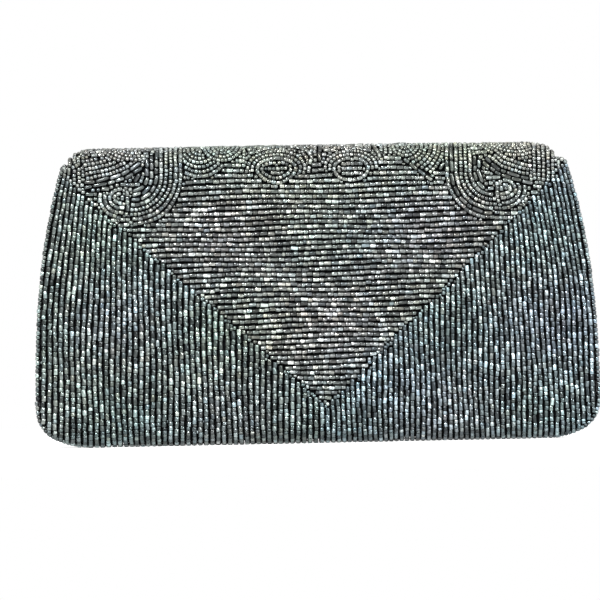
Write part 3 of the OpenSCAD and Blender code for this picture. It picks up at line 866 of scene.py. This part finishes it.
# Beads of the pattern, set on a wall of the purse. Sunk moves them in, or out if it is negative, and
# even is less than 1 where their tones differ less.
def layBeads(name, beads, body, wall=outer, half=halfAt, lift=1.0, hue=(0.94, 1.03, 1.0), sunk=0.0, even=1.0):
    x, w, dx, dw, size, width, kind, bright = beads.T
    loose = rng.normal(0, laying["loose"], len(x)) * (w > laying["firmBelow"])
    x, w = x - dw * loose, w + dx * loose
    deep = cloth["beadDepth"] + sunk + (2.1 - width) * 0.4 + rng.normal(0, laying["depthSpread"], len(x))
    limit, probe = half(w), laying["probe"]

    def at(byX, byW):
        return onSurface(x + byX * probe, w + byW * probe, deep, wall, limit)

    along = at(dx, dw) - at(-dx, -dw)
    along += rng.normal(0, laying["tilt"], along.shape) * np.linalg.norm(along, axis=1)[:, None]
    up = np.cross(along, at(dw, -dx) - at(-dw, dx))
    _, _, ny, nz = wall(w)
    flip = np.sign(up[:, 1] * ny + up[:, 2] * nz)
    up *= np.where(flip == 0, 1, flip)[:, None]
    rough = rng.uniform(glass["roughLow"], glass["roughHigh"], len(x))
    middle = onSurface(x, w, deep, wall, limit)
    smooth = np.isin(kind, smoothKinds)
    parts = []
    for shape, chosen in ((cutBead, ~smooth), (roundBead, smooth)):
        if chosen.any():
            n = int(chosen.sum())
            tones = beadTones(n, lift, hue, even) * bright[chosen][:, None] * tintAt(x[chosen], w[chosen])
            widths = width[chosen] * rng.uniform(laying["thin"], laying["thick"], n)
            parts.append(stampBeads(name if not parts else name + "_more", shape, middle[chosen], along[chosen],
                                    up[chosen], size[chosen], widths, tones, rough[chosen]))
    if len(parts) > 1:
        only(*parts)
        bpy.ops.object.join()
    return finishPiece(parts[0], body, "beads", finish="glass")


print("stage: camera, floor and lights")
bpy.context.scene.view_settings.view_transform = "Standard"
makeCamera()
makeFloor()
makeWorld()
for name, own in lamps.items():
    makeLight(name, **own)

print("stage: materials")
finishes = dict(glass=glassBeads(), backing=backingCloth(), satin=satin(), brass=brass(), paper=twistedPaper(),
                buckram=buckram(), card=greyCard(), thread=thread())
slotFinish = dict(beads="backing", satin="satin", buckram="buckram", board="card", frame_metal="brass",
                  lock_metal="brass", paper_cord="paper")
for part in frame["record"]["subparts"]:
    node = frame["nodes"][part["node"]]
    node.data.materials.clear()
    node.data.materials.append(finishes[slotFinish[part["material_slot"]]])

print("stage: beads")
cutBead = beadShape(6, 0.07)
roundBead = beadShape(8, 0.16)
stitchShape = beadShape(6, 0.12)


# Distances that the beads keep: from the edging, which may come nearer in the round corners, where the
# columns meet it at a slant, and beside the flap, where they make room for the fold's bulge.
clear = dict(edging=0.8, corner=0.3, flap=0.95, front=0.95, besideFlap=1.6, besideBulge=3.6, bulgeZ=111.5,
             highest=115.2)
corners = dict(inner=92, outer=111.5, top=12)
crestSeam = dict(near=7, half=2.6, side=1.2)


def onBottom(x, w):
    return (w < 1) & (np.abs(x) < baseEdge["beads"])


pattern = patternBeads()
neckLine = wallOutline(backLean, True)
edging = edgeBeads(neckLine)
x, w = pattern[:, 0], pattern[:, 1]
inCorner = (np.abs(x) > corners["inner"]) & (np.abs(x) < corners["outer"]) & (w < corners["top"])
inside = clearOf(neckLine, clear["edging"])(x, w) | (clearOf(neckLine, clear["corner"])(x, w) & inCorner)
pattern = np.concatenate([pattern[inside | onBottom(x, w)], edging])
mirrored = pattern * (1, -1, 1, -1, 1, 1, 1, 1) + (0, 2 * crest, 0, 0, 0, 0, 0, 0)
whole = np.concatenate([pattern[pattern[:, 1] < crest], mirrored[mirrored[:, 1] > crest]])
# the holes along the crest, where the pattern meets its mirror image
nearCrest = [tuple(bead) for bead in whole[np.abs(whole[:, 1] - crest) < crestSeam["near"]]]
crestBeads = fillHoles(nearCrest, crest - crestSeam["half"], crest + crestSeam["half"])
crestBeads = np.array(crestBeads).reshape(-1, 8)
onCrest = np.abs(crestBeads[:, 0]) < halfAt(crestBeads[:, 1]) - crestSeam["side"]
whole = np.concatenate([whole, crestBeads[onCrest]])
print("beads in the pattern", len(pattern), "and along the crest", len(crestBeads))

x, w = whole[:, 0], whole[:, 1]
onBack = (w < wallHigh) & (w > underEnd - 0.5)
inV, high = w > mitre(x), w > 100
for name, chosen, looks in (
        ("back_beads_level_rows", inV & ~high, dict(lift=0.95, hue=(0.96, 1.03, 0.985))),
        ("back_beads_left_columns", ~inV & (x < 0), dict(lift=0.9, hue=(0.865, 1.045, 1.005))),
        ("back_beads_right_columns", ~inV & (x >= 0), dict(lift=0.9, hue=(0.835, 1.03, 1.09))),
        ("back_beads_scrolls", inV & high, dict(lift=1.15, hue=(0.93, 1.035, 0.975), even=0.72))):
    layBeads(name, whole[onBack & chosen], "purse_body", **looks)

flapLine = flapOutline()
onFlap = clearOf(flapLine, clear["flap"])(x, w) & (w >= foldEnd)
flapEdge = edgeBeads(flapLine)
flapAll = np.concatenate([whole[onFlap], flapEdge[flapEdge[:, 1] > foldEnd]])
layBeads("flap_beads_left", flapAll[flapAll[:, 0] < 0], "flap")
layBeads("flap_beads_right", flapAll[flapAll[:, 0] >= 0], "flap")

# the front wall: beaded below, and above it where the flap leaves its sides open to view
frontLine = wallOutline(frontLean, False)
front = np.concatenate([pattern * (-1, 1, -1, 1, 1, 1, 1, 1), edgeBeads(frontLine)])
fx, fw = front[:, 0], front[:, 1]
shown = clearOf(frontLine, clear["front"])(fx, fw) | onBottom(fx, fw)
shown &= front[:, 6] != kinds["edge"]["code"]
shown[len(pattern):] = True
low = shown & (fw < purse["stripLowZ"] - 0.9) & (fw > underEnd - 0.5)
besideFlap = np.abs(fx) - flapHalf(fw)
beside = shown & (besideFlap > clear["besideFlap"]) & (fw < clear["highest"])
beside &= (besideFlap > clear["besideBulge"]) | (fw < clear["bulgeZ"])
bend = dict(low=65.5, high=72.8, beadsLow=65.4, beadsHigh=73.8)
layBeads("front_beads_left", front[low & (fx < 0)], "purse_body", frontWall, frontHalf)
layBeads("front_beads_right", front[low & (fx >= 0)], "purse_body", frontWall, frontHalf)
layBeads("front_shoulder_beads", front[beside & (fw > bend["beadsHigh"])], "front_frame_half", frontWall,
         frontHalf, sunk=-1.5)
chosen = beside & (fw > bend["beadsLow"]) & (fw <= bend["beadsHigh"])
piece = layBeads("strip_side_beads", front[chosen], None, frontWall, frontHalf, sunk=-1.4)
start, end = (onSurface(0.0, at, 0.5, frontWall, 100.0) * mm for at in (bend["low"], bend["high"]))
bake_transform(piece)

onBase = (w <= underEnd - 0.5) & (w > baseEnd + 0.5) & (np.abs(x) < baseEdge["beads"])
layBeads("base_beads", whole[onBase], "purse_body", lift=0.95)

# Flat size and area of each panel, and the sheets of cloth with what holds them
cutSizes, sheets = {}, []


# A grid of cloth laid on the purse: place gives its points from u across and v along, each from 0 to 1.
def clothPanel(name, grid, place):
    columns, rows = grid
    bpy.ops.mesh.primitive_grid_add(x_subdivisions=columns, y_subdivisions=rows, size=2)
    piece = bpy.context.object
    piece.name = name
    co = coordinates(piece)
    points = place((co[:, 0] + 1) / 2, (co[:, 1] + 1) / 2) * mm
    piece.data.vertices.foreach_set("co", points.ravel())
    piece.data.update()
    # the flat cloth: its longest row and column, unrolled, and its area
    points = points.reshape(rows + 1, columns + 1, 3)
    wide, tall = (np.linalg.norm(np.diff(points, axis=axis), axis=2).sum(axis).max() for axis in (1, 0))
    cutSizes[name] = (float(wide), float(tall), float(sum(face.area for face in piece.data.polygons)))
    return piece


# Turns a piece's faces outwards, after merging points that are closer than this.
def turnOutwards(piece, merge=0):
    only(piece)
    bpy.ops.object.mode_set(mode="EDIT")
    bpy.ops.mesh.select_all(action="SELECT")
    if merge:
        bpy.ops.mesh.remove_doubles(threshold=merge * mm)
    bpy.ops.mesh.normals_make_consistent(inside=False)
    bpy.ops.object.mode_set(mode="OBJECT")


# A finished piece of cloth. If it is a sheet, held and below say what holds it and what it rests on.
def makeCloth(name, grid, place, thick, slot, node=None, held=None, below=None, body="purse_body"):
    piece = clothPanel(name, grid, place)
    turnOutwards(piece)
    solid = piece.modifiers.new("Solidify", "SOLIDIFY")
    solid.thickness, solid.offset, solid.use_even_offset = thick * mm, 0, True
    bpy.ops.object.modifier_apply(modifier=solid.name)
    turnOutwards(piece)
    bpy.ops.object.shade_smooth_by_angle(angle=math.radians(50))
    finishPiece(piece, body, slot, *([node] if node else []))
    if held:
        sheets.append((piece, held, below))
    return piece


# Places on the cloth between two places w, a little in from its side edges.
def stripOf(wLow, wHigh, depth, wall=outer, half=halfAt, inset=1.1):
    def place(u, v):
        w = wLow + (wHigh - wLow) * v
        return onSurface((2 * u - 1) * (half(w) - inset), w, depth, wall, half(w))
    return place


# Places on the flap, from the end of the fold to its bowed lower edge.
def flapPlace(depth, inset, start=0.0):
    def place(u, v):
        side = 2 * u - 1
        z = flapHigh - start - v * (flapHigh - start - flapLow(side * flapLowHalf) - inset)
        x = side * (flapHalf(z) - inset)
        deep = depth(x, z) if callable(depth) else depth
        return onSurface(x, foldEnd + (flapHigh - z) / math.cos(frontLean), deep, outer, flapHalf(z))
    return place


# The lining lies deeper over the flap's buckram than beside it.
def flapLiningDepth(x, z):
    edge = np.minimum(flapHalf(z) - np.abs(x), z - flapLow(x))
    return 2.45 + 0.62 * smoothStep((flapHigh - z) / 6) * smoothStep((edge - 0.8) / 2.2)


# Places against the inside of a wall, with soft ripples. A half is a fixed width instead of an inset.
def inwardWall(wall, zLow, zHigh, depth, inset=3.0, half=None, ripple=0.0, waves=9):
    def place(u, v):
        z = zLow + (zHigh - zLow) * v
        x = (2 * u - 1) * (half or bodyHalf(z) - inset)
        y, _, ny, nz = wall(z)
        bump = ripple * (np.sin(u * math.pi * waves + np.sin(v * 5) * 0.8) * 0.6
                         + np.sin(u * 37 + v * 9) * 0.25)
        return np.stack([x, y - ny * (depth + bump), z - nz * (depth + bump)], -1)
    return place


pocket = dict(top=84, tall=58, half=55, corner=8, hem=6, hemThick=0.18, sag=0.5, depth=3.95)


def pocketPlace(over=0.0):
    def place(u, v):
        x = (2 * u - 1) * pocket["half"]
        corner, top = pocket["corner"], pocket["top"]
        past = np.clip((np.abs(x) - (pocket["half"] - corner)) / corner, 0, 1)
        low = top - pocket["tall"] + corner * (1 - np.sqrt(1 - past ** 2))
        z = top - v * (top - low)
        hem = pocket["hemThick"] * (1 - smoothStep((top - z - pocket["hem"]) / 0.8))
        sag = pocket["sag"] * np.sin(math.pi * u) * (1 - v) ** 2
        y, _, ny, nz = outer(z)
        deep = pocket["depth"] + over + hem + sag + 0.1 * np.sin(u * 21 + v * 6)
        return np.stack([x, y - ny * deep, z - nz * deep], -1)
    return place


# The gusset's top slopes down from 68 mm at the back to 65 mm at the front
gusset = dict(inset=1.4, fold=4.5, start=0.08, cornerShare=0.3, frontDrop=0.044, wallDepth=2.1)


# Right-hand edge of the body from the base, at t 0, up to the gusset's top, at t 1.
def gussetEdge(t):
    corner, inset, height = gusset["cornerShare"], gusset["inset"], purse["cornerHeight"]
    a = np.clip(t / corner, 0, 1) * math.pi / 2
    cornerX = baseHalf - purse["cornerWidth"] + (purse["cornerWidth"] - inset) * np.sin(a)
    cornerZ = height - (height - inset) * np.cos(a)
    z = height + (purse["gussetTop"] - height) * np.clip((t - corner) / (1 - corner), 0, 1)
    return np.where(t < corner, cornerX, bodyHalf(z) - inset), np.where(t < corner, cornerZ, z)


def gussetPlace(side):
    def place(u, v):
        start, deep = gusset["start"], gusset["wallDepth"]
        x, z = gussetEdge(start + (1 - start) * v * (1 - gusset["frontDrop"] * u))
        below = baseRound - np.clip(z, 0, baseRound)
        turned = turnY + np.sqrt(np.clip((baseRound - deep) ** 2 - below ** 2, 0, None))
        back = np.where(z < baseRound, -turned, outer(z)[0] + deep)
        front = np.where(z < baseRound, turned, frontWall(z)[0] - deep)
        across = np.sin(math.pi * u)
        fold = (gusset["fold"] * smoothStep(v * 1.6) * across ** 1.5
                + 0.45 * np.sin(v * 23 + 2 * u) * across ** 1.2 + 0.2 * np.sin(v * 51) * across)
        return np.stack([side * (x - fold), back + (front - back) * u, z], -1)
    return place


# Places on a flat rectangle that lies on the base.
def basePlace(wide, deep, z):
    return lambda u, v: np.stack([(2 * u - 1) * wide, (2 * v - 1) * deep, z + 0 * u], -1)


print("stage: fold")
# of each third of the fold: the bodies that it runs between, and the nodes that it replaces
foldParts = dict(back=("purse_body", "fold_back", "fold_back_cover", "fold_back_lining"),
                 top=("fold_back", "fold_front", None, None),
                 front=("fold_front", "flap", "fold_front_cover", "fold_front_lining"))
# painted light: the beads over the fold are made paler and warmer, as the light from above falls on the crest;
# even makes their tones differ less
foldLitLooks = dict(lift=1.22, hue=(0.955, 1.035, 0.92), even=0.6)
zoneEnds = [wallHigh, wallHigh + (foldEnd - wallHigh) / 3, wallHigh + (foldEnd - wallHigh) * 2 / 3, foldEnd]
for (name, (first, second, cover, lining)), low, high in zip(foldParts.items(), zoneEnds, zoneEnds[1:]):
    start, end = (onSurface(0.0, at, 1.0) * mm for at in (low, high))
    for piece in (
            layBeads("fold_beads_" + name, whole[(w >= low) & (w < high)], None, **foldLitLooks),
            makeCloth("fold_cloth_" + name, (96, 12), stripOf(low, high, cloth["depth"]), cloth["thick"],
                      "beads", cover, body=None),
            makeCloth("fold_lining_" + name, (96, 12), stripOf(low, high, 2.5, inset=1.4), 0.35,
                      "satin", lining, body=None)):
        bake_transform(piece)

print("stage: cloth")
outside = dict(
    back_cloth=dict(grid=(96, 64), place=stripOf(underEnd, wallHigh, cloth["depth"]), node="back_panel",
                    below="back_buckram_layer"),
    front_cloth=dict(grid=(96, 40), node="front_panel_lower", below="front_buckram_layer",
                     place=stripOf(underEnd, purse["stripLowZ"], cloth["depth"], frontWall, frontHalf)),
    base_cloth=dict(grid=(96, 10), place=stripOf(baseEnd, underEnd, cloth["depth"], inset=0.3),
                    node="base_panel", below="base_card"),
    flap_cloth=dict(grid=(96, 48), place=flapPlace(cloth["depth"], 0.5), node="flap_cover", body="flap",
                    below="flap_buckram"))
for name, own in outside.items():
    makeCloth(name, thick=cloth["thick"], slot="beads", held="stretched", **own)
makeCloth("flap_buckram", (64, 32), flapPlace(2.5, 2.4, 6.5), 0.5, "buckram", "flap_stiffener", "laid",
          "flap_cloth", "flap")
makeCloth("flap_lining_satin", (96, 48), flapPlace(flapLiningDepth, 0.7), 0.35, "satin", "flap_lining", "laid",
          "flap_buckram", "flap")

print("stage: inside")
lowInside, lowBuckram = 3.4, 5.6
layers = dict(
    back_buckram_layer=dict(
        grid=(48, 32), place=inwardWall(outer, lowBuckram, 113.4, 2.7), thick=0.8,
        slot="buckram", node="back_buckram", below="back_cloth"),
    front_buckram_layer=dict(
        grid=(48, 24), place=inwardWall(frontWall, lowBuckram, 64.5, 2.7), thick=0.8,
        slot="buckram", node="front_buckram_lower", below="front_cloth"),
    back_lining_satin=dict(
        grid=(96, 48), place=inwardWall(outer, lowInside, 102.1, 3.45, ripple=0.12), thick=0.3,
        node="back_lining", below="back_buckram_layer"),
    back_facing_satin=dict(
        grid=(96, 32), place=inwardWall(outer, 66, 113.7, 3.2, inset=2.4), thick=0.14,
        below="back_buckram_layer"),
    front_lining_satin=dict(
        grid=(96, 32), place=inwardWall(frontWall, lowInside, 64.6, 3.45, ripple=0.12), thick=0.3,
        node="front_lining_lower", below="front_buckram_layer"),
    front_upper_satin=dict(
        grid=(120, 32), thick=0.5, node="front_panel_upper", held="hung", below="frame_front",
        body="front_frame_half",
        place=inwardWall(frontWall, purse["panelLowZ"], 110.4, 0.5, inset=0.2, ripple=0.22, waves=26)),
    front_upper_lining=dict(
        grid=(96, 24), thick=0.3, node="front_lining_upper", held="hung", below="frame_front",
        body="front_frame_half", place=inwardWall(frontWall, 73.1, 102.1, 1.25, half=87.1, ripple=0.08)),
    soft_strip=dict(
        grid=(120, 14), thick=0.4, node="front_bend_strip", held=None, body=None,
        place=inwardWall(frontWall, purse["stripLowZ"], 73.05, 0.55, inset=0.4, ripple=0.25, waves=30)),
    slip_pocket_satin=dict(
        grid=(64, 48), place=pocketPlace(), thick=0.3, node="slip_pocket", below="back_lining_satin"))
made = {name: makeCloth(name, **{"slot": "satin", "held": "laid", **own}) for name, own in layers.items()}
start, end = ((0, float(frontWall(at)[0]) * mm, at * mm) for at in (bend["low"], bend["high"]))
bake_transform(made["soft_strip"])

stitch = dict(length=1.7, gap=0.9, thick=0.34, tone=0.2, rough=0.6)


# A row of stitches along a line of points in millimetres.
def stitchLine(name, points, up, body):
    length = stitch["length"]
    run = np.concatenate([[0], np.cumsum(np.linalg.norm(np.diff(points, axis=0), axis=1))])
    at = np.arange(length, run[-1] - length, length + stitch["gap"])
    before, middle, after = (np.stack([np.interp(at + d, run, points[:, k]) for k in range(3)], -1)
                             for d in (-0.4, 0, 0.4))
    n = len(at)
    piece = stampBeads(name, stitchShape, middle, after - before, np.tile(np.array(up, float), (n, 1)),
                       np.full(n, length), np.full(n, stitch["thick"]), np.full((n, 3), stitch["tone"]),
                       np.full(n, stitch["rough"]))
    return finishPiece(piece, body, None, finish="thread")


t = np.linspace(0, 1, 80)
pocketFace = pocketPlace(over=0.17)
seams = ((0 * t + 0.018, t * 0.84), (0 * t + 0.982, t * 0.84), (0.14 + 0.72 * t, 0 * t + 0.972),
         (0.02 + 0.96 * t, 0 * t + 0.098))
for number, (u, v) in enumerate(seams):
    stitchLine("pocket_stitches_" + str(number + 1), pocketFace(u, v), (0, 1, 0), "purse_body")
flapSeam = insideLine(flapLine, 4.2)
seamX, seamW = flapSeam[flapSeam[:, 1] > foldEnd + 1].T
seamZ = outer(seamW)[1]
points = onSurface(seamX, seamW, flapLiningDepth(seamX, seamZ) + 0.19, outer, flapHalf(seamZ))
stitchLine("flap_lining_stitches", points, (0, -1, 0), "flap")

for side, name in ((-1, "left"), (1, "right")):
    makeCloth(name + "_gusset_satin", (24, 96), gussetPlace(side), 0.7, "satin", name + "_gusset", "hung",
              "back_cloth")
makeCloth("base_card", (48, 8), basePlace(95.6, 8.6, 2.7), 0.9, "board", "base_board")
makeCloth("base_satin", (48, 8), basePlace(95.6, 9.6, 3.42), 0.35, "satin", "base_lining", "laid", "base_card")

# The frame's channel, and the paper cord that is pressed into it
cord = dict(channelWidth=195, channelCorner=10, inside=1.65, low=80.05, y=2.1, radius=0.8, ridge=0.09,
            strands=3, twist=0.8)


# Middle of the cord: up one arm, over the bar and down the other. Also its whole length.
def cordPath(t):
    bendRound, top = cord["channelCorner"] - cord["inside"], purse["frameTop"] - cord["inside"]
    half = cord["channelWidth"] / 2 - cord["inside"]
    arm = purse["frameTop"] - cord["channelCorner"] - cord["low"]
    arc, bar = math.pi / 2 * bendRound, 2 * (half - bendRound)
    total = 2 * arm + 2 * arc + bar
    s = np.asarray(t) * total
    up, down = (np.clip((s - start) / bendRound, 0, math.pi / 2) for start in (arm, arm + arc + bar))
    stretch = [s < arm, s < arm + arc, s < arm + arc + bar, s < arm + 2 * arc + bar]
    x = np.select(stretch, [0 * s - half, bendRound - half - bendRound * np.cos(up),
                            bendRound - half + (s - arm - arc),
                            half - bendRound + bendRound * np.sin(down)], half)
    z = np.select(stretch, [cord["low"] + s, top - bendRound + bendRound * np.sin(up), 0 * s + top,
                            top - bendRound + bendRound * np.cos(down)], cord["low"] + (total - s))
    return x, z, total


def cordPlace(side):
    def place(u, v):
        x, z, total = cordPath(v)
        (x1, z1), (x2, z2) = (cordPath(np.clip(v + d, 0, 1))[:2] for d in (-0.0005, 0.0005))
        tx, tz = (x2 - x1, z2 - z1) / np.hypot(x2 - x1, z2 - z1)
        around = 2 * math.pi * u
        radius = cord["radius"] + cord["ridge"] * np.cos(cord["strands"] * (around - v * total * cord["twist"]))
        radius = radius * np.sqrt(np.clip(1 - (np.abs(v - 0.5) * 2) ** 400, 0, 1))
        out = radius * np.cos(around)
        return np.stack([x - tz * out, side * cord["y"] + radius * np.sin(around), z + tx * out], -1)
    return place


for side, name, body in ((-1, "back", "purse_body"), (1, "front", "front_frame_half")):
    piece = clothPanel("cord_" + name + "_paper", (15, 520), cordPlace(side))
    turnOutwards(piece, merge=0.02)
    bpy.ops.object.shade_smooth()
    finishPiece(piece, body, "paper_cord", "cord_" + name)

print("stage: finish")
